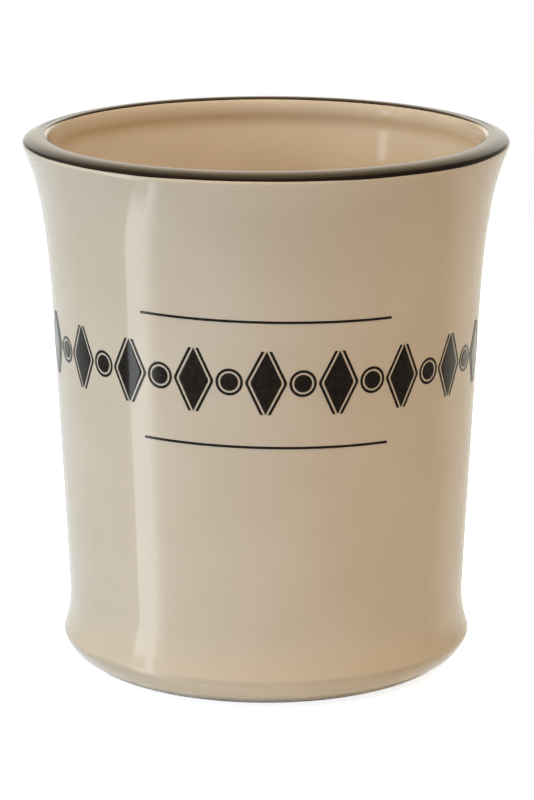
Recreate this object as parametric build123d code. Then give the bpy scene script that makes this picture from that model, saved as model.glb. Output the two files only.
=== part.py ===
from build123d import *
import os
from math import asin, atan2, cos, degrees, radians, sin, sqrt

# A glazed ceramic utensil crock. Lengths are in millimetres and angles in degrees.
# It stands upright on the plane z = 0, round the Z axis, with its printed front towards -Y.
# Sizes of the outside and inside are those of the finished, glazed surface.

# Overall sizes
HEIGHT = 160.0
WALL = 5.6
BASE = 6.5

# Foot: a bare contact ring round a shallow recess
FOOT_RADIUS = 46.0
FOOT_WIDTH = 3.4
FOOT_EDGE_RADIUS = 0.8
RECESS_DEPTH = 2.8
RECESS_CORNER_RADIUS = 1.5

# Outside: a rounded bead over the undercut foot, a shallow hollow, a straight taper,
# a long sweep and a flare
UNDERCUT_RADIUS = 16.3
BEAD_RADIUS = 3.1
HOLLOW_RADIUS = 36.4
SWEEP_RADIUS = 316.0
FLARE_RADIUS = 79.0

# Lip: a tight nose, a broad crown, a roll over the crest, and a brow that stands in
# over the wall with a hollow throat beneath it
NOSE_RADIUS = 1.6
ROLL_RADIUS = 1.5
BROW_RADIUS = 8.0
BROW_BULGE = 2.0
THROAT_RADIUS = 8.0

# Inside
FLOOR_CORNER_RADIUS = 9.0

# Skins on the clay
GLAZE = 0.35
GLAZE_LINE_HEIGHT = 0.8
RIM_LINE_THICKNESS = 0.15
PRINT_THICKNESS = 0.15

# Printed frieze of lozenges and spots, each with hairlines beside it
LOZENGE_LENGTH = 18.6
LOZENGE_WIDTH = 9.2
SPOT_RADIUS = 2.6
HAIRLINE = 0.8
HAIRLINE_GAP = 0.55
LOZENGE_COUNT = 9

# Printed rules above and below the frieze, and their clearance from it
RULE_WIDTH = 0.75
UPPER_RULE_GAP = 8.1
LOWER_RULE_GAP = 9.3

# Height of the middle of the frieze, as a share of the whole height
FRIEZE_HEIGHT_SHARE = 0.617

# Room by which a cutting shape passes what it cuts, and the longest gap that counts as none
OVERRUN = 4.0
SEAM = 0.000001

# Bearings and tilt of the printing, from the front
RULE_REACH_ANGLE = 34.0
FRIEZE_PITCH_ANGLE = 19.2
PRINT_TILT_ANGLE = 1.3

# Directions of the surface, as angles of its outward normal in the section
OUT_ANGLE = 0.0
UP_ANGLE = 90.0
IN_ANGLE = 180.0
DOWN_ANGLE = -90.0

# Leans of the wall from upright, and directions where one bend gives way to the next
TAPER_LEAN_ANGLE = 2.96
SWEEP_LEAN_ANGLE = 7.9
FLARE_LEAN_ANGLE = 22.8
RECESS_LEAN_ANGLE = 15.0
BEAD_START_ANGLE = -28.0
BEAD_STOP_ANGLE = 18.0
NOSE_STOP_ANGLE = 64.0
ROLL_STOP_ANGLE = 155.0

# Directions where a skin starts or stops
RIM_LINE_START_ANGLE = 33.0
RIM_LINE_STOP_ANGLE = 150.0
RECESS_GLAZE_STOP_ANGLE = -145.0


def unit(angle):
    """The direction at an angle in the section: radius first, height second."""
    return Vector(cos(radians(angle)), sin(radians(angle)))


def angle_of(direction):
    """The angle of a direction in the section."""
    return degrees(atan2(direction.Y, direction.X))


class Bend:
    """A round stretch of the section, between two directions of the surface.

    Its radius is positive where the surface bulges and negative where it is hollow.
    The section runs from the underside, up the outside, over the lip and down inside.
    """

    def __init__(self, centre, radius, start, stop):
        self.centre = centre
        self.radius = radius
        self.start = start
        self.stop = stop

    def at(self, angle, depth=0):
        """The point where the surface faces an angle, or the one at a depth under it."""
        return self.centre + unit(angle) * (self.radius - depth)

    def then(self, radius, stop, run=0):
        """The bend that follows, after a straight run."""
        first = self.at(self.stop) + unit(self.stop + UP_ANGLE) * run
        return Bend(first - unit(self.stop) * radius, radius, self.stop, stop)

    def part(self, start, stop):
        """A piece of this bend."""
        return Bend(self.centre, self.radius, start, stop)


def axis_end(height, facing):
    """The end of the section on the axis, as a bend with no radius."""
    return Bend(Vector(0, height), 0, facing, facing)


def hollow_corner(wall_point, wall_facing, radius, centre_height):
    """The centre of a hollow corner that touches a straight wall."""
    facing = unit(wall_facing)
    off_the_wall = facing.dot(wall_point) + radius
    return Vector((off_the_wall - facing.Y * centre_height) / facing.X, centre_height)


def underside():
    """The bends of the underside: its middle, the corner of the recess and the foot's edge."""
    side = RECESS_LEAN_ANGLE - IN_ANGLE
    level = RECESS_DEPTH - GLAZE
    edge_centre = Vector(FOOT_RADIUS - FOOT_WIDTH, FOOT_EDGE_RADIUS - GLAZE)
    edge = Bend(edge_centre, FOOT_EDGE_RADIUS, side, DOWN_ANGLE)
    centre = hollow_corner(edge.at(side), side, RECESS_CORNER_RADIUS, level - RECESS_CORNER_RADIUS)
    return [axis_end(level, DOWN_ANGLE), Bend(centre, -RECESS_CORNER_RADIUS, DOWN_ANGLE, side), edge]


def outside(run):
    """The bends of the outside, with a straight run of a given length in the wall."""
    undercut_centre = Vector(FOOT_RADIUS, UNDERCUT_RADIUS - GLAZE)
    undercut = Bend(undercut_centre, UNDERCUT_RADIUS, DOWN_ANGLE, BEAD_START_ANGLE)
    bead = undercut.then(BEAD_RADIUS, BEAD_STOP_ANGLE)
    hollow = bead.then(-HOLLOW_RADIUS, -TAPER_LEAN_ANGLE)
    sweep = hollow.then(-SWEEP_RADIUS, -SWEEP_LEAN_ANGLE, run)
    flare = sweep.then(-FLARE_RADIUS, -FLARE_LEAN_ANGLE)
    return [undercut, bead, hollow, sweep, flare]


def lip(flare):
    """The bends of the lip that ends a flare: nose, crown, roll, brow and throat."""
    nose = flare.then(NOSE_RADIUS, NOSE_STOP_ANGLE)
    # The crown's radius puts the brow at its bulge inside the wall: each millimetre of
    # it moves the brow's centre by a step, from where it would be with none.
    unmoved = nose.at(NOSE_STOP_ANGLE) - unit(UP_ANGLE) * ROLL_RADIUS
    unmoved = unmoved - unit(ROLL_STOP_ANGLE) * (BROW_RADIUS - ROLL_RADIUS) - flare.centre
    step = unit(UP_ANGLE) - unit(NOSE_STOP_ANGLE)
    reach = FLARE_RADIUS + WALL + BROW_BULGE - BROW_RADIUS
    middle = -unmoved.dot(step) / step.dot(step)
    excess = (unmoved.dot(unmoved) - reach**2) / step.dot(step)
    crown = nose.then(middle + sqrt(middle**2 - excess), UP_ANGLE)
    roll = crown.then(ROLL_RADIUS, ROLL_STOP_ANGLE)
    brow = roll.then(BROW_RADIUS, IN_ANGLE)
    # The throat's centre is its own radius clear of the brow and of the inner flare.
    from_brow = BROW_RADIUS + THROAT_RADIUS
    from_flare = FLARE_RADIUS + WALL + THROAT_RADIUS
    between = brow.centre - flare.centre
    ahead = between.normalized()
    along = (from_flare**2 - from_brow**2 + between.dot(between)) / (2 * between.length)
    across = sqrt(from_flare**2 - along**2)
    centre = flare.centre + ahead * along + Vector(-ahead.Y, ahead.X) * across
    brow_stop = angle_of(centre - brow.centre) % (2 * IN_ANGLE)
    throat_stop = angle_of(centre - flare.centre) % (2 * IN_ANGLE)
    throat = Bend(centre, -THROAT_RADIUS, brow_stop, throat_stop)
    return [nose, crown, roll, brow.part(ROLL_STOP_ANGLE, brow_stop), throat]


def inside(sweep, flare, throat):
    """The bends of the inside: a wall's thickness within the outside, then the floor."""
    joint = IN_ANGLE - SWEEP_LEAN_ANGLE
    facing = IN_ANGLE - TAPER_LEAN_ANGLE
    inner_flare = Bend(flare.centre, FLARE_RADIUS + WALL, throat.stop, joint)
    inner_sweep = Bend(sweep.centre, SWEEP_RADIUS + WALL, joint, facing)
    level = RECESS_DEPTH + BASE
    wall_point = inner_sweep.at(facing)
    centre = hollow_corner(wall_point, facing, FLOOR_CORNER_RADIUS, level + FLOOR_CORNER_RADIUS)
    corner = Bend(centre, -FLOOR_CORNER_RADIUS, facing, UP_ANGLE)
    return [inner_flare, inner_sweep, corner, axis_end(level, UP_ANGLE)]


def straight_run():
    """The length of straight taper that brings the finished crest to the full height."""
    crown = lip(outside(0)[-1])[1]
    return (HEIGHT - RIM_LINE_THICKNESS - crown.at(UP_ANGLE).Y) / cos(radians(TAPER_LEAN_ANGLE))


UNDERSIDE = underside()
OUTSIDE = outside(straight_run())
LIP = lip(OUTSIDE[-1])
INSIDE = inside(OUTSIDE[-2], OUTSIDE[-1], LIP[-1])
BEYOND = LIP[0].at(OUT_ANGLE).X + OVERRUN
FRIEZE_HEIGHT = HEIGHT * FRIEZE_HEIGHT_SHARE


def line(start, stop):
    """A straight edge between two points of the section."""
    return Edge.make_line((start.X, 0, start.Y), (stop.X, 0, stop.Y))


def arc(bend, depth):
    """The round edge of a bend at a depth."""
    angles = (bend.start, (bend.start + bend.stop) / 2, bend.stop)
    points = [bend.at(angle, depth) for angle in angles]
    return Edge.make_three_point_arc(*[(point.X, 0, point.Y) for point in points])


def surface(bends, depth):
    """The edges along a run of bends at a depth under the finished surface."""
    edges = []
    last = bends[0].at(bends[0].start, depth)
    for bend in bends:
        start = bend.at(bend.start, depth)
        if (start - last).length > SEAM:
            edges.append(line(last, start))
        if bend.start != bend.stop:
            edges.append(arc(bend, depth))
        last = bend.at(bend.stop, depth)
    return edges


def turned(edges):
    """The solid that a closed section sweeps round the axis."""
    return revolve(Face(Wire(edges)), Axis.Z)


def skin(bends, outer, inner):
    """A turned skin that follows a run of bends between two depths."""
    start = bends[0]
    stop = bends[-1]
    edges = surface(bends, outer) + surface(bends, inner)
    for bend, angle in ((start, start.start), (stop, stop.stop)):
        edges.append(line(bend.at(angle, outer), bend.at(angle, inner)))
    return turned(edges)


def clay_body():
    """The fired clay: everything under the glaze, and bare on the foot ring."""
    bends = UNDERSIDE + OUTSIDE + LIP + INSIDE
    axis = line(bends[-1].at(UP_ANGLE, GLAZE), bends[0].at(DOWN_ANGLE, GLAZE))
    return turned(surface(bends, GLAZE) + [axis])


def glaze_coat():
    """The glaze from its line above the foot, over the lip and across the floor inside."""
    undercut = OUTSIDE[0]
    rise = (GLAZE_LINE_HEIGHT - undercut.centre.Y) / UNDERCUT_RADIUS
    glazed = undercut.part(degrees(asin(rise)), BEAD_START_ANGLE)
    return skin([glazed] + OUTSIDE[1:] + LIP + INSIDE, 0, GLAZE)


def underside_glaze():
    """The glaze in the recess, stopped short of the bare foot ring."""
    middle, corner, edge = UNDERSIDE
    return skin([middle, corner.part(DOWN_ANGLE, RECESS_GLAZE_STOP_ANGLE)], 0, GLAZE)


def rim_line():
    """The band of dark enamel over the lip."""
    nose, crown, roll, brow, throat = LIP
    first = nose.part(RIM_LINE_START_ANGLE, NOSE_STOP_ANGLE)
    last = roll.part(UP_ANGLE, RIM_LINE_STOP_ANGLE)
    return skin([first, crown, last], -RIM_LINE_THICKNESS, 0)


def print_layer():
    """A layer as thick as the printing, all round the wall from the hollow to the flare."""
    undercut, bead, hollow, sweep, flare = OUTSIDE
    return skin([hollow, sweep, flare], -PRINT_THICKNESS, 0)


def printed(cutters):
    """What of the print layer lies within each of some cutting solids."""
    layer = print_layer()
    pieces = []
    for cutter in cutters:
        pieces.extend((layer & cutter).solids())
    return Compound(pieces)


def tilted(solid, height):
    """A solid laid out round the origin, moved up to a height with its right end dipped."""
    return Pos(0, 0, height) * Rot(0, PRINT_TILT_ANGLE, 0) * solid


def rule(height):
    """A thin printed rule across the front, with its middle at a height."""
    left = unit(DOWN_ANGLE - RULE_REACH_ANGLE) * BEYOND
    front = unit(DOWN_ANGLE) * BEYOND
    right = unit(DOWN_ANGLE + RULE_REACH_ANGLE) * BEYOND
    edges = [Line((0, 0), left), ThreePointArc(left, front, right), Line(right, (0, 0))]
    slab = extrude(make_face(edges), RULE_WIDTH / 2, both=True)
    return printed([tilted(slab, height)])


def upper_rule():
    """The rule above the frieze."""
    return rule(FRIEZE_HEIGHT + LOZENGE_LENGTH / 2 + UPPER_RULE_GAP + RULE_WIDTH / 2)


def lower_rule():
    """The rule below the frieze."""
    return rule(FRIEZE_HEIGHT - LOZENGE_LENGTH / 2 - LOWER_RULE_GAP - RULE_WIDTH / 2)


def stamp(outline, bearing):
    """A prism that points out through the wall, at a bearing from the front."""
    outward = Vector(sin(radians(bearing)), -cos(radians(bearing)), 0)
    sideways = Vector(cos(radians(bearing)), sin(radians(bearing)), 0)
    plane = Plane(origin=outward * FOOT_RADIUS, x_dir=sideways, z_dir=outward)
    return tilted(extrude(plane * outline, BEYOND - FOOT_RADIUS), FRIEZE_HEIGHT)


def lozenge():
    """The outline of an upright lozenge."""
    across = LOZENGE_WIDTH / 2
    along = LOZENGE_LENGTH / 2
    return make_face(Polyline((0, along), (across, 0), (0, -along), (-across, 0), (0, along)))


def lozenge_hairlines():
    """The outline of the two chevrons beside a lozenge, trimmed level with its points."""
    near = offset(lozenge(), HAIRLINE_GAP, kind=Kind.INTERSECTION)
    far = offset(lozenge(), HAIRLINE_GAP + HAIRLINE, kind=Kind.INTERSECTION)
    return (far - near) & Rectangle(2 * LOZENGE_WIDTH, LOZENGE_LENGTH)


def spot():
    """The outline of a round spot."""
    return Circle(SPOT_RADIUS)


def spot_hairline():
    """The outline of the ring round a spot."""
    near = SPOT_RADIUS + HAIRLINE_GAP
    return Circle(near + HAIRLINE) - Circle(near)


def row(outline, count):
    """Prisms of one outline, a pitch apart, with the front in their middle."""
    middle = (count - 1) / 2
    return [stamp(outline, (index - middle) * FRIEZE_PITCH_ANGLE) for index in range(count)]


def frieze_lozenges():
    """The row of lozenges."""
    return printed(row(lozenge(), LOZENGE_COUNT))


def frieze_spots():
    """The row of spots, one in each gap between lozenges."""
    return printed(row(spot(), LOZENGE_COUNT - 1))


def frieze_hairlines():
    """The hairlines beside every lozenge and round every spot."""
    chevrons = row(lozenge_hairlines(), LOZENGE_COUNT)
    rings = row(spot_hairline(), LOZENGE_COUNT - 1)
    return printed(chevrons + rings)


NODES = [
    clay_body,
    glaze_coat,
    underside_glaze,
    rim_line,
    upper_rule,
    lower_rule,
    frieze_lozenges,
    frieze_spots,
    frieze_hairlines,
]

os.makedirs("parts", exist_ok=True)
for node in NODES:
    export_step(node(), f"parts/{node.__name__}.step")
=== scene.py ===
import math

import bpy
import numpy as np
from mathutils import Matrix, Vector, noise

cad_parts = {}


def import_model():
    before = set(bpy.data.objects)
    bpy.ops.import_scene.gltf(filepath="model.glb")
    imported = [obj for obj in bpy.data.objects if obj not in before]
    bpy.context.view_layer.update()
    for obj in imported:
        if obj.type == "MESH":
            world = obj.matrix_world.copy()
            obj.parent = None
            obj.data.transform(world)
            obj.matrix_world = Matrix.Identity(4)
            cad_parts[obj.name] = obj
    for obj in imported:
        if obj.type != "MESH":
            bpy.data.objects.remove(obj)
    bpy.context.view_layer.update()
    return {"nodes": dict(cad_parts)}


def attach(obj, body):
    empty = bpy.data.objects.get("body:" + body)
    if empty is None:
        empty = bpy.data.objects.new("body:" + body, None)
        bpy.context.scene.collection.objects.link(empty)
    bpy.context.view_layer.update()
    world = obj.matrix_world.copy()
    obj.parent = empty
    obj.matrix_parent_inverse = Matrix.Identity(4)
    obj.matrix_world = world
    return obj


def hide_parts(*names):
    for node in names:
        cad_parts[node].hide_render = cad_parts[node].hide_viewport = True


# The crock stands on z = 0 round the Z axis, with its printed front towards -Y.
# Lengths are in metres and angles in degrees.

# Thickness of the glaze, and of the wall with its glaze
GLAZE = 0.00035
WALL = 0.0056

# The recess under the foot: its ceiling, from near the axis to the corner where its glaze stops
RECESS_LEVEL = 0.00245
RECESS_START = 0.0005
RECESS_FLAT = 0.03958
RECESS_CORNER_RADIUS = 0.0015
RECESS_STOP = -145.0

# The outside, as a chain of bends that touch: foot, bead, hollow, taper, sweep and flare
FOOT_RADIUS = 0.046
UNDERCUT_RADIUS = 0.0163
BEAD_RADIUS = 0.0031
HOLLOW_RADIUS = 0.0364
SWEEP_RADIUS = 0.316
FLARE_RADIUS = 0.079
TAPER_RUN = 0.0860

# The chain goes on over the lip, through the throat and down the inside to the floor
NOSE_RADIUS = 0.0016
CROWN_RADIUS = 0.01164
ROLL_RADIUS = 0.0015
BROW_RADIUS = 0.008
THROAT_RADIUS = 0.008
FLOOR_CORNER_RADIUS = 0.009
TAPER_RUN_INSIDE = 0.0923

# Facings, as the angle of the outward normal above the horizontal, where bends meet
DOWN = -90.0
BEAD_START = -28.0
BEAD_STOP = 18.0
TAPER_LEAN = 2.96
SWEEP_LEAN = 7.9
FLARE_LEAN = 22.8
NOSE_STOP = 64.0
UP = 90.0
ROLL_STOP = 155.0
BROW_STOP = 189.5
THROAT_STOP = 163.1
IN = 180.0

# Places of the nose and the roll in the chain of bends
NOSE = 5
ROLL = 7

# Glaze: where it starts above the bare foot, how far its edge wanders and how wide it rounds
GLAZE_LINE = 0.0123
GLAZE_LINE_WANDER = 0.00022
GLAZE_LINE_SEED = 1.7
GLAZE_EDGE = 0.0006
GLAZE_SETTLE = 0.006
RECESS_WANDER = 0.0001
RECESS_SEED = 0.6

# Rim line: from a facing on the nose to one on the roll, which it falls short of at the sides
RIM_LINE_THICKNESS = 0.00015
RIM_LINE_EDGE = 0.00035
RIM_LINE_START = 19.0
RIM_LINE_START_WANDER = 0.00032
RIM_LINE_START_SEED = 2.3
RIM_LINE_STOP = 142.0
RIM_LINE_STOP_WANDER = 0.00010
RIM_LINE_STOP_SEED = 4.1
RIM_LINE_DIP = 0.0011
RIM_LINE_DIP_SPREAD = 0.3

# A hand's wander round the crock: the number of waves, and the share of each
WAVES = [(1, 0.5), (2, 0.35), (3, 0.3), (5, 0.2), (8, 0.15), (13, 0.1), (21, 0.06)]

# Where the glaze ran thick: the height, the spread and the depth of each pool
HOLLOW_POOL = (0.0125, 0.004, 0.2)
CORNER_POOL = (0.0115, 0.004, 0.6)

# Painted warm bounce light in the shaded throat under the lip: the height, the spread and the
# share
THROAT_PAINTED_BOUNCE = (0.1541, 0.0022, 0.6)

# Where the recess's glaze ran thick, at its edge: the share of its width, and the depth
RECESS_POOL_SPREAD_SHARE = 0.1
RECESS_POOL_DEPTH = 0.5

# Where the enamel is thin on the crown: shares of the line's width
THIN_MIDDLE_SHARE = 0.66
THIN_SPREAD_SHARE = 0.27

# Slow swells of the fired surface, which bend its reflections
SWELL_HEIGHT = 0.00004
SWELL_SIZE = 0.034
RIPPLE_HEIGHT = 0.000006
RIPPLE_SIZE = 0.009

# Printed frieze and rules
PRINT_THICKNESS = 0.00009
PRINT_EDGE = 0.00007
FRIEZE_HEIGHT = 0.09872
FRIEZE_PITCH = 19.2
PRINT_TILT = 1.3
LOZENGE_LENGTH = 0.0186
LOZENGE_WIDTH = 0.0092
LOZENGE_COUNT = 9
SPOT_RADIUS = 0.0026
HAIRLINE = 0.0008
HAIRLINE_GAP = 0.00055
RULE_WIDTH = 0.00075
RULE_REACH = 34.0
UPPER_RULE_GAP = 0.0081
LOWER_RULE_GAP = 0.0093
UPPER_RULE_HEIGHT = FRIEZE_HEIGHT + LOZENGE_LENGTH / 2 + UPPER_RULE_GAP + RULE_WIDTH / 2
LOWER_RULE_HEIGHT = FRIEZE_HEIGHT - LOZENGE_LENGTH / 2 - LOWER_RULE_GAP - RULE_WIDTH / 2

# Fineness of the turned meshes
COLUMNS = 360
LONGEST_STEP = 0.0022
WIDEST_TURN = 5.0
GLAZE_EDGE_ROWS = 7
RECESS_EDGE_SHARE = 0.01
RECESS_EDGE_ROWS = 6
RIM_EDGE_SHARE = 0.08
RIM_EDGE_ROWS = 6
RIM_MIDDLE_SHARES = (0.1, 0.9)
RIM_MIDDLE_ROWS = 36

# Fineness of the printed films, along and across each, and of their rounded edges, and how
# often a stamp's reach to the flared wall is worked out anew
LOZENGE_MESH = (22, 10)
CHEVRON_MESH = (22, 2)
SPOT_MESH = (48, 6)
RING_MESH = (56, 2)
RULE_MESH = (120, 2)
EDGE_SHARES = np.array([0, 0.12, 0.4, 1])
WIDEST_EDGE_SHARE = 0.2
STAMP_ROUNDS = 4

# Camera, fitted to the photograph. Its lens and sensor are in millimetres.
CAMERA_DISTANCE = 1.1977
CAMERA_HEIGHT = 0.3624
CAMERA_DIP = 13.308
CAMERA_LENS = 185.8
CAMERA_SHIFT = 0.0011
SENSOR = 36.0

# Colours of the glaze, the enamel, the print and the clay, in linear light
CREAM = (0.512, 0.412, 0.300)
PALE_CREAM = (0.540, 0.440, 0.328)
POOLED_CREAM = (0.45, 0.327, 0.186)
# Painted warm bounce light, lighter and warmer than the cream, for the shaded throat
PAINTED_BOUNCE_CREAM = (0.67, 0.48, 0.287)
CREAM_SPECK = (0.28, 0.20, 0.13)
INK = (0.006, 0.004, 0.002)
THIN_INK = (0.020, 0.013, 0.007)
ENAMEL = (0.008, 0.005, 0.003)
THIN_ENAMEL = (0.095, 0.066, 0.034)
SOILED_CLAY = (0.58, 0.48, 0.36)
PALE_CLAY = (0.68, 0.60, 0.48)
SAND = (0.38, 0.29, 0.20)

# Grains of each surface, and the grain and height of its orange peel
MOTTLE_GRAIN = 0.028
SPECK_GRAIN = 0.0011
GLAZE_GLOSS_GRAIN = 0.02
GLAZE_PEEL = (0.0035, 0.000010)
INK_GRAIN = 0.0012
INK_GLOSS_GRAIN = 0.0024
INK_PEEL = (0.0022, 0.000012)
ENAMEL_GRAIN = 0.0016
ENAMEL_PEEL = (0.0025, 0.000014)
SOIL_GRAIN = 0.012
SAND_GRAIN = 0.0006
SAND_HEIGHT = 0.00012
FLOOR_GRAIN = 0.004

# How rough each surface is, from its glossiest to its dullest spots
GLAZE_ROUGHNESS = (0.20, 0.26)
INK_ROUGHNESS = (0.18, 0.26)
ENAMEL_ROUGHNESS = (0.12, 0.20)
CLAY_ROUGHNESS = (0.75, 0.95)

# Spans of a noise over which a colour or a roughness changes, and how far it does
NOISE_SPAN = (0.3, 0.7)
MOTTLE_SPAN = (0.25, 0.75)
SPECK_SPAN = (0.70, 0.80)
SPECK_SHARES = (0.0, 0.12)
THIN_INK_SPAN = (0.35, 0.75)
ENAMEL_UNEVENNESS = (0.75, 1.15)
SAND_SPAN = (0.45, 0.70)
SAND_SHARES = (0.0, 0.35)

# Stage: a round floor of two close greys, lifted to white where the camera sees it
FLOOR_RADIUS = 0.7
FLOOR_SIDES = 96
FLOOR_GREYS = [(0.78, 0.78, 0.77), (0.80, 0.80, 0.79)]
FLOOR_LIFT = 0.85

# Light on matt surfaces: a little from all round, and four lamps.
# Each lamp has a bearing, elevation, distance, width, height and strength for its area.
AMBIENT = (0.07, 0.06, 0.05)
LAMP_AIM = 0.08
LAMPS = {
    "overhead": (0, 78, 1.2, 2.2, 1.3, (3.9, 3.4, 2.9)),
    "key": (-58, 5, 1.3, 1.2, 0.45, (1.9, 4.1, 7.0)),
    "left": (-90, 45, 1.2, 0.8, 0.8, (2.3, 2.2, 1.5)),
    "right": (90, 45, 1.2, 0.8, 0.8, (0.7, 0.6, 0.35)),
}

# Next comes the studio that only the gloss mirrors, where 1 is white. Each pair is where an
# edge starts and where it is full, as a bearing from the front or as a part of a direction of
# length 1, whose height is its rise.

# Its tall card, broad up to the horizon and narrow above
CARD_RADIANCE = (2.07, 2.205, 2.34)
BROAD_CARD_SIDES = [(-81, -79), (-58, -72)]
BROAD_CARD_ENDS = [(0.12, 0.02), (-0.75, -0.55)]
NARROW_CARD_SIDES = [(-73, -70), (-64, -68)]
NARROW_CARD_TOP = (0.40, 0.30)

# Its dim gap, low in the middle of the backdrop
GAP_RADIANCE = (0.35, 0.35, 0.35)
GAP_RISES = [(-0.01, 0.02), (0.125, 0.10)]
GAP_DEPTH = (0.78, 0.86)
GAP_HALF_WIDTH = (0.12, 0.07)

# Its colours all round, at the level of the table and of the room, by shares of a turn:
# 0 and 1 are behind the crock, a half is in front of it and a quarter is on its left
TABLE_COLOURS = [
    (0.00, (0.95, 0.96, 0.94)),
    (0.12, (0.66, 0.70, 0.70)),
    (0.22, (0.06, 0.07, 0.07)),
    (0.30, (0.10, 0.11, 0.11)),
    (0.36, (0.22, 0.23, 0.23)),
    (0.50, (0.14, 0.14, 0.14)),
    (0.79, (0.05, 0.05, 0.04)),
    (0.84, (0.68, 0.64, 0.54)),
    (1.00, (0.82, 0.79, 0.70)),
]
ROOM_COLOURS = [
    (0.00, (1.00, 1.00, 0.98)),
    (0.04, (0.85, 0.85, 0.82)),
    (0.08, (0.15, 0.15, 0.14)),
    (0.14, (0.12, 0.12, 0.12)),
    (0.18, (1.00, 1.00, 0.98)),
    (0.22, (0.12, 0.12, 0.12)),
    (0.85, (0.12, 0.12, 0.11)),
    (0.92, (0.20, 0.20, 0.18)),
    (0.95, (0.75, 0.74, 0.71)),
    (1.00, (1.00, 1.00, 0.98)),
]
TABLE_TO_ROOM = (-0.17, 0.05)

# Its tints from the lower walls to the ceiling, and the table's colour steeply below
WALL_TINT = (0.99, 0.96, 0.89)
CEILING_TINT = (0.40, 0.33, 0.21)
WALL_TO_CEILING = (0.15, 0.9)
TABLE_TOP = (0.68, 0.60, 0.47)
TABLE_TO_TOP = (-0.6, -0.9)


# Shapes


def unit(angle):
    """The direction at an angle in the section: radius first, height second."""
    return np.array([math.cos(math.radians(angle)), math.sin(math.radians(angle))])


def smooth(x):
    """A smooth step from 0 to 1."""
    x = np.clip(x, 0, 1)
    return x * x * (3 - 2 * x)


def rounded(x):
    """A quarter round from 0 to 1, for the edge of a skin."""
    x = 1 - np.clip(x, 0, 1)
    return np.sqrt(1 - x * x)


def hump(x, middle, spread):
    """A smooth hump of 1 at its middle."""
    return np.exp(-(((x - middle) / spread) ** 2))


class Section:
    """A line in the half plane of radius and height, with its facing all along it.

    A bend is its radius, negative where it is hollow, the facing at which it stops, and the
    length of the straight run before it.
    """

    def __init__(self, start, facing, bends):
        points = [np.array(start)]
        facings = [facing]
        self.starts = []
        for radius, stop, run in bends:
            last = points[-1] + unit(facing + UP) * run
            for share in np.linspace(0, 1, math.ceil(run / LONGEST_STEP) + 1)[1:]:
                points.append(last - unit(facing + UP) * run * (1 - share))
                facings.append(facing)
            self.starts.append(len(points) - 1)
            centre = last - unit(facing) * radius
            steps = max(
                abs(stop - facing) / WIDEST_TURN,
                abs(radius * math.radians(stop - facing)) / LONGEST_STEP,
            )
            for angle in np.linspace(facing, stop, math.ceil(steps) + 1)[1:]:
                points.append(centre + unit(angle) * radius)
                facings.append(angle)
            facing = stop
        self.starts.append(len(points) - 1)
        self.radius, self.height = np.array(points).T
        self.facing = np.array(facings)
        steps = np.hypot(np.diff(self.radius), np.diff(self.height))
        self.length = np.concatenate([[0], np.cumsum(steps)])

    def at(self, length):
        """Radius, height and facing at a length along the section."""
        return [
            np.interp(length, self.length, values)
            for values in (self.radius, self.height, self.facing)
        ]

    def where(self, bend, facing):
        """The length at which a bulging bend faces an angle."""
        part = slice(self.starts[bend], self.starts[bend + 1] + 1)
        return float(np.interp(facing, self.facing[part], self.length[part]))


def body_section():
    """The section from the contact ring up the outside, over the lip and to the floor."""
    bends = [
        (UNDERCUT_RADIUS, BEAD_START, 0),
        (BEAD_RADIUS, BEAD_STOP, 0),
        (-HOLLOW_RADIUS, -TAPER_LEAN, 0),
        (-SWEEP_RADIUS, -SWEEP_LEAN, TAPER_RUN),
        (-FLARE_RADIUS, -FLARE_LEAN, 0),
        (NOSE_RADIUS, NOSE_STOP, 0),
        (CROWN_RADIUS, UP, 0),
        (ROLL_RADIUS, ROLL_STOP, 0),
        (BROW_RADIUS, BROW_STOP, 0),
        (-THROAT_RADIUS, THROAT_STOP, 0),
        (FLARE_RADIUS + WALL, IN - SWEEP_LEAN, 0),
        (SWEEP_RADIUS + WALL, IN - TAPER_LEAN, 0),
        (-FLOOR_CORNER_RADIUS, UP, TAPER_RUN_INSIDE),
    ]
    return Section((FOOT_RADIUS, -GLAZE), DOWN, bends)


def recess_section():
    """The section of the recess, from near its centre to the corner where its glaze stops."""
    bends = [(-RECESS_CORNER_RADIUS, RECESS_STOP, RECESS_FLAT)]
    return Section((RECESS_START, RECESS_LEVEL), DOWN, bends)


BODY = body_section()


def swell(point):
    """How far the fired surface stands off its true form, at a point."""
    slow = noise.noise(Vector(point) / SWELL_SIZE) * SWELL_HEIGHT
    return slow + noise.noise(Vector(point) / RIPPLE_SIZE) * RIPPLE_HEIGHT


def surface(section, lengths, bearings, heights):
    """Points over a turned surface, at lengths along its section and bearings round it.

    A bearing of 0 is the front and grows to the viewer's right.
    """
    radius, height, facing = section.at(lengths)
    turn = np.radians(bearings)
    side = np.sin(turn)
    front = -np.cos(turn)
    outward = np.cos(np.radians(facing))
    upward = np.sin(np.radians(facing))
    points = np.stack([radius * side, radius * front, height], -1)
    normals = np.stack([outward * side, outward * front, upward], -1)
    flat = points.reshape(-1, 3)
    swells = np.array([swell(point) for point in flat]).reshape(radius.shape)
    return points + normals * (heights + swells)[..., None]


def grid_faces(rows, columns, around):
    """Quads of a grid of points, closed round its columns if asked."""
    faces = []
    for row in range(rows - 1):
        for column in range(columns if around else columns - 1):
            here = row * columns + column
            beside = row * columns + (column + 1) % columns
            faces.append((here, beside, beside + columns, here + columns))
    return faces


def mesh_object(name, points, faces, **values):
    """A smooth-shaded mesh object, with named values at its points if given."""
    mesh = bpy.data.meshes.new(name)
    mesh.from_pydata([tuple(point) for point in points], [], faces)
    mesh.polygons.foreach_set("use_smooth", [True] * len(mesh.polygons))
    for key, numbers in values.items():
        attribute = mesh.attributes.new(key, "FLOAT", "POINT")
        attribute.data.foreach_set("value", np.asarray(numbers, np.float32))
    mesh.validate()
    piece = bpy.data.objects.new(name, mesh)
    bpy.context.scene.collection.objects.link(piece)
    return piece


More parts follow.
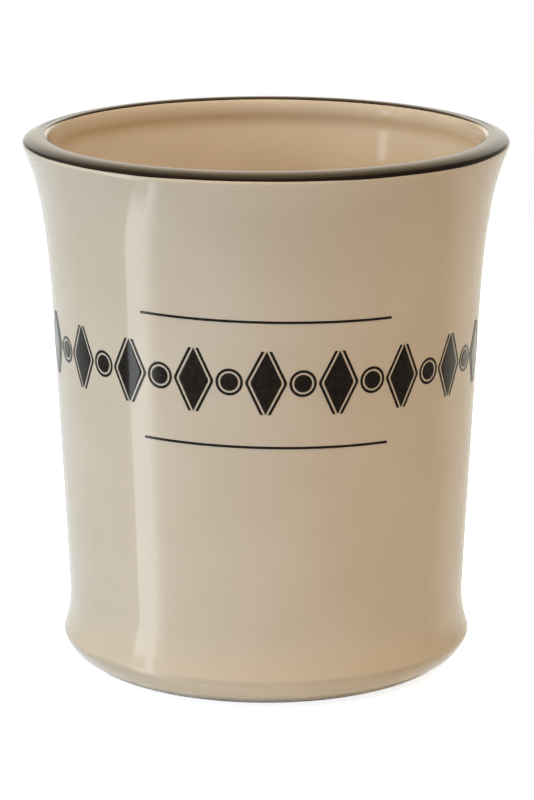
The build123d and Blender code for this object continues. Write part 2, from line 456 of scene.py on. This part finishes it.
def bearings_round():
    """The bearings of the columns of a turned mesh."""
    return np.arange(COLUMNS) * 360 / COLUMNS


def wander(bearings, reach, seed):
    """A slow, closed wander round the crock, as of a hand-held brush or sponge."""
    turn = np.radians(bearings)
    total = np.zeros_like(turn)
    for count, share in WAVES:
        total += share * np.sin(count * turn + seed * count * count)
    return reach * total


def zone(lengths, middle, spread, share, inside):
    """A smooth zone of the body's glaze round a height, outside or inside the crock."""
    _, height, facing = BODY.at(lengths)
    return share * hump(height, middle, spread) * ((facing > UP) == inside)


def closed_skin(name, points, at_end, **values):
    """A turned skin, closed by a fan of faces at its last row, or else at its first.

    Its values are none at the fan's centre.
    """
    centre = len(points) * COLUMNS
    faces = grid_faces(len(points), COLUMNS, around=True)
    for column in range(COLUMNS):
        beside = (column + 1) % COLUMNS
        if at_end:
            start = centre - COLUMNS
            faces.append((start + column, start + beside, centre))
        else:
            faces.append((beside, column, centre))
    middle = points[-1 if at_end else 0].mean(0)
    cover = np.vstack([points.reshape(-1, 3), middle])
    kept = {key: np.append(numbers.ravel(), 0) for key, numbers in values.items()}
    return mesh_object(name, cover, faces, **kept)


def glaze_coat():
    """The glaze over the body, from its rounded edge above the foot to the floor's centre."""
    bearings = bearings_round()
    line = GLAZE_LINE + wander(bearings, GLAZE_LINE_WANDER, GLAZE_LINE_SEED)
    edge = GLAZE_LINE + np.linspace(0, 1, GLAZE_EDGE_ROWS) ** 2 * GLAZE_EDGE
    rest = BODY.length[BODY.length > GLAZE_LINE + GLAZE_EDGE * 2]
    plain = np.concatenate([edge, rest])
    settle = 1 - smooth((plain - GLAZE_LINE) / GLAZE_SETTLE)
    lengths = plain[:, None] + settle[:, None] * (line - GLAZE_LINE)[None]
    heights = -GLAZE * (1 - rounded((lengths - line[None]) / GLAZE_EDGE))
    points = surface(BODY, lengths, np.broadcast_to(bearings, lengths.shape), heights)
    hollow = zone(lengths, *HOLLOW_POOL, inside=False)
    corner = zone(lengths, *CORNER_POOL, inside=True)
    # Share of painted warm bounce light, in the shaded throat under the lip
    throat = zone(lengths, *THROAT_PAINTED_BOUNCE, inside=True)
    values = {"depth": hollow + corner, "painted_bounce": throat}
    return closed_skin("glaze_body", points, at_end=True, **values)


def underside_glaze():
    """The glaze in the recess, with a rounded edge short of the bare ring."""
    section = recess_section()
    bearings = bearings_round()
    stop = section.length[-1] + wander(bearings, RECESS_WANDER, RECESS_SEED)
    edge = np.linspace(1 - RECESS_EDGE_SHARE, 1, RECESS_EDGE_ROWS)
    shares = np.append(section.length[:-1] / section.length[-1], edge)
    lengths = shares[:, None] * stop[None]
    heights = -GLAZE * (1 - rounded((stop[None] - lengths) / GLAZE_EDGE))
    points = surface(section, lengths, np.broadcast_to(bearings, lengths.shape), heights)
    depth = hump(shares, 1, RECESS_POOL_SPREAD_SHARE).repeat(COLUMNS) * RECESS_POOL_DEPTH
    return closed_skin("glaze_recess", points, at_end=False, depth=depth)


def rim_line():
    """The hand-banded dark line over the lip, with uneven edges, thin on the crown."""
    bearings = bearings_round()
    start = BODY.where(NOSE, RIM_LINE_START)
    start += wander(bearings, RIM_LINE_START_WANDER, RIM_LINE_START_SEED)
    stop = BODY.where(ROLL, RIM_LINE_STOP)
    stop += wander(bearings, RIM_LINE_STOP_WANDER, RIM_LINE_STOP_SEED)
    stop -= RIM_LINE_DIP * hump(np.cos(np.radians(bearings)), 0, RIM_LINE_DIP_SPREAD)
    edge = np.linspace(0, RIM_EDGE_SHARE, RIM_EDGE_ROWS)
    middle = np.linspace(*RIM_MIDDLE_SHARES, RIM_MIDDLE_ROWS)
    shares = np.concatenate([edge, middle, 1 - edge[::-1]])
    lengths = start[None] + shares[:, None] * (stop - start)[None]
    near_edge = np.minimum(lengths - start[None], stop[None] - lengths)
    heights = RIM_LINE_THICKNESS * rounded(near_edge / RIM_LINE_EDGE)
    points = surface(BODY, lengths, np.broadcast_to(bearings, lengths.shape), heights)
    thinness = hump(shares, THIN_MIDDLE_SHARE, THIN_SPREAD_SHARE).repeat(COLUMNS)
    faces = grid_faces(len(shares), COLUMNS, around=True)
    return mesh_object("rim_band", points.reshape(-1, 3), faces, thinness=thinness)


def on_the_wall(bearing, side, rise, middle):
    """Length and bearing on the body of a point stamped straight in from outside.

    The stamp's own frame stands at a bearing and a middle height, tilted to the right.
    """
    turn = np.radians(bearing)
    tilt = math.radians(PRINT_TILT)
    wall = slice(0, int(np.argmax(BODY.height)))
    reach = np.interp(middle, BODY.height[wall], BODY.radius[wall]) * np.ones_like(side)
    for _ in range(STAMP_ROUNDS):
        across = side * np.cos(turn) + reach * np.sin(turn)
        toward = side * np.sin(turn) - reach * np.cos(turn)
        x = across * math.cos(tilt) + rise * math.sin(tilt)
        z = middle - across * math.sin(tilt) + rise * math.cos(tilt)
        wanted = np.interp(z, BODY.height[wall], BODY.radius[wall])
        reach = reach + wanted - np.hypot(x, toward)
    lengths = np.interp(z, BODY.height[wall], BODY.length[wall])
    return lengths, np.degrees(np.arctan2(x, -toward))


def edge_shares(size, count):
    """Shares across a printed film: close together at both rounded edges."""
    edge = min(PRINT_EDGE / size, WIDEST_EDGE_SHARE)
    rim = EDGE_SHARES * edge
    return np.concatenate([rim, np.linspace(edge, 1 - edge, count + 2)[1:-1], 1 - rim[::-1]])


def film(outline, along, across, counts, bearing, closed=False):
    """Points and faces of one printed film of the frieze, from an outline of two shares.

    The outline turns shares along and across the film into side and rise.
    """
    first = np.linspace(0, 1, counts[0] + 1)[:-1] if closed else edge_shares(along, counts[0])
    second = edge_shares(across, counts[1])
    a, b = np.meshgrid(first, second, indexing="ij")
    side, rise = outline(a, b)
    lengths, bearings = on_the_wall(bearing, side, rise, FRIEZE_HEIGHT)
    ends = np.ones_like(a) if closed else rounded(np.minimum(a, 1 - a) * along / PRINT_EDGE)
    heights = PRINT_THICKNESS * ends * rounded(np.minimum(b, 1 - b) * across / PRINT_EDGE)
    points = surface(BODY, lengths, bearings, heights)
    rows, columns = a.shape
    faces = grid_faces(rows, columns, around=False)
    if closed:
        last = (rows - 1) * columns
        for column in range(columns - 1):
            faces.append((last + column, last + column + 1, column + 1, column))
    return points.reshape(-1, 3), faces


def printed(name, films):
    """One object of several printed films."""
    points = []
    faces = []
    for film_points, film_faces in films:
        start = len(points)
        points.extend(film_points)
        faces.extend(tuple(index + start for index in face) for face in film_faces)
    return mesh_object(name, points, faces)


def lozenge_outline(a, b):
    """An upright lozenge: a runs from its foot to its top, b from left to right."""
    half = LOZENGE_WIDTH / 2 * (1 - np.abs(2 * a - 1))
    return (2 * b - 1) * half, (2 * a - 1) * LOZENGE_LENGTH / 2


def chevron_outline(hand):
    """The hairline beside a lozenge, on its left (-1) or right (1), level with its tips."""
    slant = math.hypot(LOZENGE_WIDTH, LOZENGE_LENGTH) / LOZENGE_LENGTH

    def outline(a, b):
        tip = LOZENGE_WIDTH / 2 * (1 - np.abs(2 * a - 1))
        off = (HAIRLINE_GAP + b * HAIRLINE) * slant
        return hand * (tip + off), (2 * a - 1) * LOZENGE_LENGTH / 2

    return outline


def ring_outline(inner, outer):
    """A ring about the middle: a goes round it, b from its inner to its outer edge."""

    def outline(a, b):
        turn = 2 * math.pi * a
        radius = inner + b * (outer - inner)
        return radius * np.sin(turn), radius * np.cos(turn)

    return outline


def frieze_bearings(count):
    """The bearings of a row of stamps, with the front in their middle."""
    return [(index - (count - 1) / 2) * FRIEZE_PITCH for index in range(count)]


def frieze_lozenges():
    """The row of lozenges."""
    films = [
        film(lozenge_outline, LOZENGE_LENGTH, LOZENGE_WIDTH, LOZENGE_MESH, bearing)
        for bearing in frieze_bearings(LOZENGE_COUNT)
    ]
    return printed("print_lozenges", films)


def frieze_spots():
    """The row of spots between the lozenges."""
    outline = ring_outline(0.0, SPOT_RADIUS)
    films = [
        film(outline, SPOT_RADIUS, 2 * SPOT_RADIUS, SPOT_MESH, bearing, closed=True)
        for bearing in frieze_bearings(LOZENGE_COUNT - 1)
    ]
    return printed("print_spots", films)


def frieze_hairlines():
    """The hairlines beside every lozenge and round every spot."""
    films = []
    for bearing in frieze_bearings(LOZENGE_COUNT):
        for hand in (-1, 1):
            outline = chevron_outline(hand)
            films.append(film(outline, LOZENGE_LENGTH, HAIRLINE, CHEVRON_MESH, bearing))
    near = SPOT_RADIUS + HAIRLINE_GAP
    outline = ring_outline(near, near + HAIRLINE)
    for bearing in frieze_bearings(LOZENGE_COUNT - 1):
        films.append(film(outline, near, HAIRLINE, RING_MESH, bearing, closed=True))
    return printed("print_hairlines", films)


def rule(name, middle):
    """A thin printed rule across the front."""
    first = np.linspace(0, 1, RULE_MESH[0])
    second = edge_shares(RULE_WIDTH, RULE_MESH[1])
    a, b = np.meshgrid(first, second, indexing="ij")
    bearings = (2 * a - 1) * RULE_REACH
    lengths, bearings = on_the_wall(bearings, np.zeros_like(a), (b - 0.5) * RULE_WIDTH, middle)
    heights = PRINT_THICKNESS * rounded(np.minimum(b, 1 - b) * RULE_WIDTH / PRINT_EDGE)
    points = surface(BODY, lengths, bearings, heights)
    return mesh_object(name, points.reshape(-1, 3), grid_faces(*a.shape, around=False))


# Materials, stage and light


class Graph:
    """A node tree being built, with short ways to add and join its nodes."""

    def __init__(self, tree, output, place):
        self.tree = tree
        self.tree.nodes.clear()
        self.output = self.add(output)
        self.place = self.add("ShaderNodeTexCoord").outputs[place]

    def add(self, kind, **values):
        """A node with some of its sockets set."""
        node = self.tree.nodes.new(kind)
        for name, value in values.items():
            node.inputs[name.replace("_", " ")].default_value = value
        return node

    def join(self, source, target):
        """A link between two sockets."""
        self.tree.links.new(source, target)

    def put(self, value, target):
        """Sets a socket to a number or colour, or links it to another socket."""
        if isinstance(value, bpy.types.NodeSocket):
            self.join(value, target)
        elif isinstance(value, tuple) and len(value) == 3:
            target.default_value = (*value, 1)
        else:
            target.default_value = value

    def noise(self, grain, detail=2.0, roughness=0.5):
        """A noise of a given grain, from 0 to 1."""
        node = self.add("ShaderNodeTexNoise", Scale=1 / grain, Detail=detail, Roughness=roughness)
        self.join(self.place, node.inputs["Vector"])
        return node.outputs["Fac"]

    def attribute(self, name):
        """A value kept at the points of the mesh."""
        node = self.add("ShaderNodeAttribute")
        node.attribute_name = name
        return node.outputs["Fac"]

    def ramp(self, value, stops):
        """A smooth colour ramp over a value."""
        node = self.add("ShaderNodeValToRGB")
        node.color_ramp.interpolation = "B_SPLINE"
        self.join(value, node.inputs["Fac"])
        elements = node.color_ramp.elements
        while len(elements) < len(stops):
            elements.new(0.5)
        for element, (position, colour) in zip(elements, stops):
            element.position = position
            element.color = (*colour, 1)
        return node.outputs["Color"]

    def mix(self, factor, first, second, blend="MIX"):
        """Two colours mixed by a factor."""
        node = self.add("ShaderNodeMix")
        node.data_type = "RGBA"
        node.blend_type = blend
        node.clamp_result = False
        for value, target in ((factor, 0), (first, 6), (second, 7)):
            self.put(value, node.inputs[target])
        return node.outputs[2]

    def math(self, operation, first, second=0.0):
        """A sum, product or other function of two values."""
        node = self.add("ShaderNodeMath")
        node.operation = operation
        self.put(first, node.inputs[0])
        self.put(second, node.inputs[1])
        return node.outputs[0]

    def step(self, value, start, stop, low=0.0, high=1.0):
        """A smooth step from low to high, as a value passes from start to stop."""
        ends = {"From_Min": start, "From_Max": stop, "To_Min": low, "To_Max": high}
        node = self.add("ShaderNodeMapRange", **ends)
        node.interpolation_type = "SMOOTHSTEP"
        self.join(value, node.inputs["Value"])
        return node.outputs["Result"]

    def spread(self, value, low=0.0, high=1.0):
        """A noise stretched to run from one value to another."""
        return self.step(value, *NOISE_SPAN, low, high)

    def product(self, first, *others):
        """The product of several values."""
        for other in others:
            first = self.math("MULTIPLY", first, other)
        return first

    def bump(self, value, height):
        """A bump of a given height where the value is full."""
        node = self.add("ShaderNodeBump", Strength=1.0, Distance=height)
        self.join(value, node.inputs["Height"])
        return node.outputs["Normal"]

    def peel(self, grain, height):
        """The bump of a fired surface, like the peel of an orange."""
        return self.bump(self.noise(grain), height)


def material_graph(name):
    """A new material and the graph of its nodes."""
    material = bpy.data.materials.new(name)
    material.use_nodes = True
    return material, Graph(material.node_tree, "ShaderNodeOutputMaterial", "Object")


def principled(name, paint):
    """A material of one principled shader, whose sockets a painter gives in a graph."""
    material, graph = material_graph(name)
    shader = graph.add("ShaderNodeBsdfPrincipled")
    for socket, value in paint(graph).items():
        graph.put(value, shader.inputs[socket.replace("_", " ")])
    graph.join(shader.outputs["BSDF"], graph.output.inputs["Surface"])
    return material


def paint_glaze(graph):
    """Cream glaze: mottled, deeper where it pools, with painted warm bounce light in the shaded
    throat, faintly specked.
    """
    mottle = graph.step(graph.noise(MOTTLE_GRAIN, detail=3.0), *MOTTLE_SPAN)
    plain = graph.mix(mottle, CREAM, PALE_CREAM)
    pooled = graph.mix(graph.attribute("depth"), plain, POOLED_CREAM)
    # Painted warm bounce light mixed into the colour where the throat lies in shade
    bounce_lit_cream = graph.mix(graph.attribute("painted_bounce"), pooled, PAINTED_BOUNCE_CREAM)
    specks = graph.step(graph.noise(SPECK_GRAIN, detail=1.0), *SPECK_SPAN, *SPECK_SHARES)
    peel = graph.peel(*GLAZE_PEEL)
    return {
        "Base_Color": graph.mix(specks, bounce_lit_cream, CREAM_SPECK),
        "Roughness": graph.spread(graph.noise(GLAZE_GLOSS_GRAIN), *GLAZE_ROUGHNESS),
        "Specular_IOR_Level": 0.2,
        "Coat_Weight": 1.0,
        "Coat_Roughness": 0.03,
        "Coat_IOR": 1.52,
        "Normal": peel,
        "Coat_Normal": peel,
    }


def paint_ink(graph):
    """Fired black print: near black, a little brown where the film is thin."""
    uneven = graph.noise(INK_GRAIN, detail=3.0, roughness=0.6)
    thin = graph.step(uneven, *THIN_INK_SPAN)
    peel = graph.peel(*INK_PEEL)
    return {
        "Base_Color": graph.mix(thin, INK, THIN_INK),
        "Roughness": graph.spread(graph.noise(INK_GLOSS_GRAIN), *INK_ROUGHNESS),
        "Specular_IOR_Level": 0.1,
        "Coat_Weight": 1.0,
        "Coat_Roughness": 0.05,
        "Normal": peel,
        "Coat_Normal": peel,
    }


def paint_enamel(graph):
    """Banded black enamel: uneven in colour and gloss, brown where it is thin on the crown."""
    uneven = graph.noise(ENAMEL_GRAIN, detail=3.0, roughness=0.6)
    thin = graph.product(graph.attribute("thinness"), graph.spread(uneven, *ENAMEL_UNEVENNESS))
    peel = graph.peel(*ENAMEL_PEEL)
    return {
        "Base_Color": graph.mix(thin, ENAMEL, THIN_ENAMEL),
        "Roughness": graph.spread(uneven, *ENAMEL_ROUGHNESS),
        "Specular_IOR_Level": 0.1,
        "Coat_Weight": 1.0,
        "Coat_Roughness": 0.04,
        "Normal": peel,
        "Coat_Normal": peel,
    }


def paint_clay(graph):
    """Bare fired clay: pale, dry and finely grained, a little soiled."""
    soil = graph.noise(SOIL_GRAIN, detail=4.0, roughness=0.6)
    sand = graph.noise(SAND_GRAIN, detail=5.0, roughness=0.7)
    plain = graph.mix(graph.spread(soil), SOILED_CLAY, PALE_CLAY)
    return {
        "Base_Color": graph.mix(graph.step(sand, *SAND_SPAN, *SAND_SHARES), plain, SAND),
        "Roughness": graph.spread(sand, *CLAY_ROUGHNESS),
        "Normal": graph.bump(sand, SAND_HEIGHT),
    }


def floor_material():
    """A pale floor, lifted to white for the camera, that keeps the crock's shadow."""
    material, graph = material_graph("floor")
    diffuse = graph.add("ShaderNodeBsdfDiffuse")
    grain = graph.spread(graph.noise(FLOOR_GRAIN, detail=4.0))
    graph.join(graph.mix(grain, *FLOOR_GREYS), diffuse.inputs["Color"])
    glow = graph.add("ShaderNodeEmission", Strength=FLOOR_LIFT)
    path = graph.add("ShaderNodeLightPath")
    seen = graph.add("ShaderNodeMixShader")
    graph.join(path.outputs["Is Camera Ray"], seen.inputs[0])
    graph.join(glow.outputs[0], seen.inputs[2])
    both = graph.add("ShaderNodeAddShader")
    graph.join(diffuse.outputs[0], both.inputs[0])
    graph.join(seen.outputs[0], both.inputs[1])
    graph.join(both.outputs[0], graph.output.inputs["Surface"])
    return material


def stage_floor():
    """A round pale floor under the crock, which mirror-like rays pass by."""
    ring = [
        (FLOOR_RADIUS * math.cos(turn), FLOOR_RADIUS * math.sin(turn), 0)
        for turn in np.linspace(0, 2 * math.pi, FLOOR_SIDES, endpoint=False)
    ]
    floor = mesh_object("floor", ring, [tuple(range(len(ring)))])
    floor.data.materials.append(floor_material())
    floor.visible_glossy = False


def softbox(name, bearing, elevation, distance, width, height, strength):
    """A broad lamp that faces the crock, and that neither the camera nor the gloss sees."""
    peak = max(strength)
    lamp = bpy.data.lights.new(name, "AREA")
    lamp.shape = "RECTANGLE"
    lamp.size = width
    lamp.size_y = height
    lamp.energy = peak * width * height * math.pi
    lamp.color = [part / peak for part in strength]
    box = bpy.data.objects.new(name, lamp)
    bpy.context.scene.collection.objects.link(box)
    turn = math.radians(bearing)
    rise = math.radians(elevation)
    level = math.cos(rise)
    out = Vector((math.sin(turn) * level, -math.cos(turn) * level, math.sin(rise)))
    box.location = Vector((0, 0, LAMP_AIM)) + out * distance
    box.rotation_euler = (-out).to_track_quat("-Z", "Y").to_euler()
    box.visible_camera = False
    box.visible_glossy = False


def lights():
    """Soft light: warm from overhead, cool and low from the left, and weak from both sides."""
    for name, values in LAMPS.items():
        softbox(name, *values)


def card(graph, degrees, rise):
    """The part of the surround that the tall card fills: broad below, narrow above."""
    broad = [graph.step(degrees, *span) for span in BROAD_CARD_SIDES]
    broad += [graph.step(rise, *span) for span in BROAD_CARD_ENDS]
    narrow = [graph.step(degrees, *span) for span in NARROW_CARD_SIDES]
    narrow.append(graph.step(rise, *NARROW_CARD_TOP))
    return graph.math("MAXIMUM", graph.product(*broad), graph.product(*narrow))


def gap(graph, right, back, rise):
    """The part of the surround that the dim gap in the backdrop fills."""
    edges = [graph.step(rise, *span) for span in GAP_RISES]
    edges.append(graph.step(back, *GAP_DEPTH))
    edges.append(graph.step(graph.math("ABSOLUTE", right), *GAP_HALF_WIDTH))
    return graph.product(*edges)


def surround(graph):
    """What the gloss mirrors: a table, a dim room with a white backdrop, and a tall card."""
    sides = graph.add("ShaderNodeSeparateXYZ")
    graph.join(graph.place, sides.inputs[0])
    right, back, rise = sides.outputs
    bearing = graph.math("ARCTAN2", right, graph.math("MULTIPLY", back, -1.0))
    degrees = graph.math("MULTIPLY", bearing, 180 / math.pi)
    turn = graph.math("ADD", graph.math("DIVIDE", bearing, 2 * math.pi), 0.5)
    table = graph.ramp(turn, TABLE_COLOURS)
    tint = graph.mix(graph.step(rise, *WALL_TO_CEILING), WALL_TINT, CEILING_TINT)
    room = graph.mix(1.0, graph.ramp(turn, ROOM_COLOURS), tint, "MULTIPLY")
    around = graph.mix(graph.step(rise, *TABLE_TO_ROOM), table, room)
    around = graph.mix(graph.step(rise, *TABLE_TO_TOP), around, TABLE_TOP)
    lit = graph.mix(card(graph, degrees, rise), around, CARD_RADIANCE)
    return graph.mix(gap(graph, right, back, rise), lit, GAP_RADIANCE)


def world():
    """White for the camera, even light for matt surfaces, and a studio for the gloss."""
    sky = bpy.data.worlds.new("studio")
    bpy.context.scene.world = sky
    sky.use_nodes = True
    sky.cycles.sampling_method = "NONE"
    graph = Graph(sky.node_tree, "ShaderNodeOutputWorld", "Generated")
    path = graph.add("ShaderNodeLightPath")
    even = graph.add("ShaderNodeBackground", Color=(*AMBIENT, 1))
    studio = graph.add("ShaderNodeBackground")
    graph.join(surround(graph), studio.inputs["Color"])
    white = graph.add("ShaderNodeBackground", Color=(1, 1, 1, 1))
    lit = graph.add("ShaderNodeMixShader")
    graph.join(path.outputs["Is Glossy Ray"], lit.inputs[0])
    graph.join(even.outputs[0], lit.inputs[1])
    graph.join(studio.outputs[0], lit.inputs[2])
    seen = graph.add("ShaderNodeMixShader")
    graph.join(path.outputs["Is Camera Ray"], seen.inputs[0])
    graph.join(lit.outputs[0], seen.inputs[1])
    graph.join(white.outputs[0], seen.inputs[2])
    graph.join(seen.outputs[0], graph.output.inputs["Surface"])


def camera():
    """The camera, as fitted to the photograph."""
    data = bpy.data.cameras.new("camera")
    data.lens = CAMERA_LENS
    data.sensor_width = SENSOR
    data.shift_x = CAMERA_SHIFT
    eye = bpy.data.objects.new("camera", data)
    eye.location = (0, -CAMERA_DISTANCE, CAMERA_HEIGHT)
    eye.rotation_euler = (math.radians(UP - CAMERA_DIP), 0, 0)
    bpy.context.scene.collection.objects.link(eye)
    bpy.context.scene.camera = eye


def dress(piece, material, node):
    """Gives a piece its material and slot, and has it ride the crock in place of a CAD node."""
    piece.data.materials.append(material)
    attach(piece, "root")
    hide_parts(node)


def dress_clay(clay):
    """Gives the CAD's own bare pot its material and slot."""
    clay.data.materials.clear()
    clay.data.materials.append(principled("bare_clay", paint_clay))


def main():
    """Dresses the crock and sets up its stage, light and camera."""
    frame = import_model()
    glaze = principled("cream_glaze", paint_glaze)
    ink = principled("black_print", paint_ink)
    enamel = principled("rim_enamel", paint_enamel)
    dress(glaze_coat(), glaze, "glaze_coat")
    dress(underside_glaze(), glaze, "underside_glaze")
    dress(rim_line(), enamel, "rim_line")
    dress(frieze_lozenges(), ink, "frieze_lozenges")
    dress(frieze_spots(), ink, "frieze_spots")
    dress(frieze_hairlines(), ink, "frieze_hairlines")
    dress(rule("print_upper_rule", UPPER_RULE_HEIGHT), ink, "upper_rule")
    dress(rule("print_lower_rule", LOWER_RULE_HEIGHT), ink, "lower_rule")
    dress_clay(frame["nodes"]["clay_body"])
    stage_floor()
    lights()
    world()
    camera()
    bpy.context.scene.view_settings.view_transform = "Standard"


main()
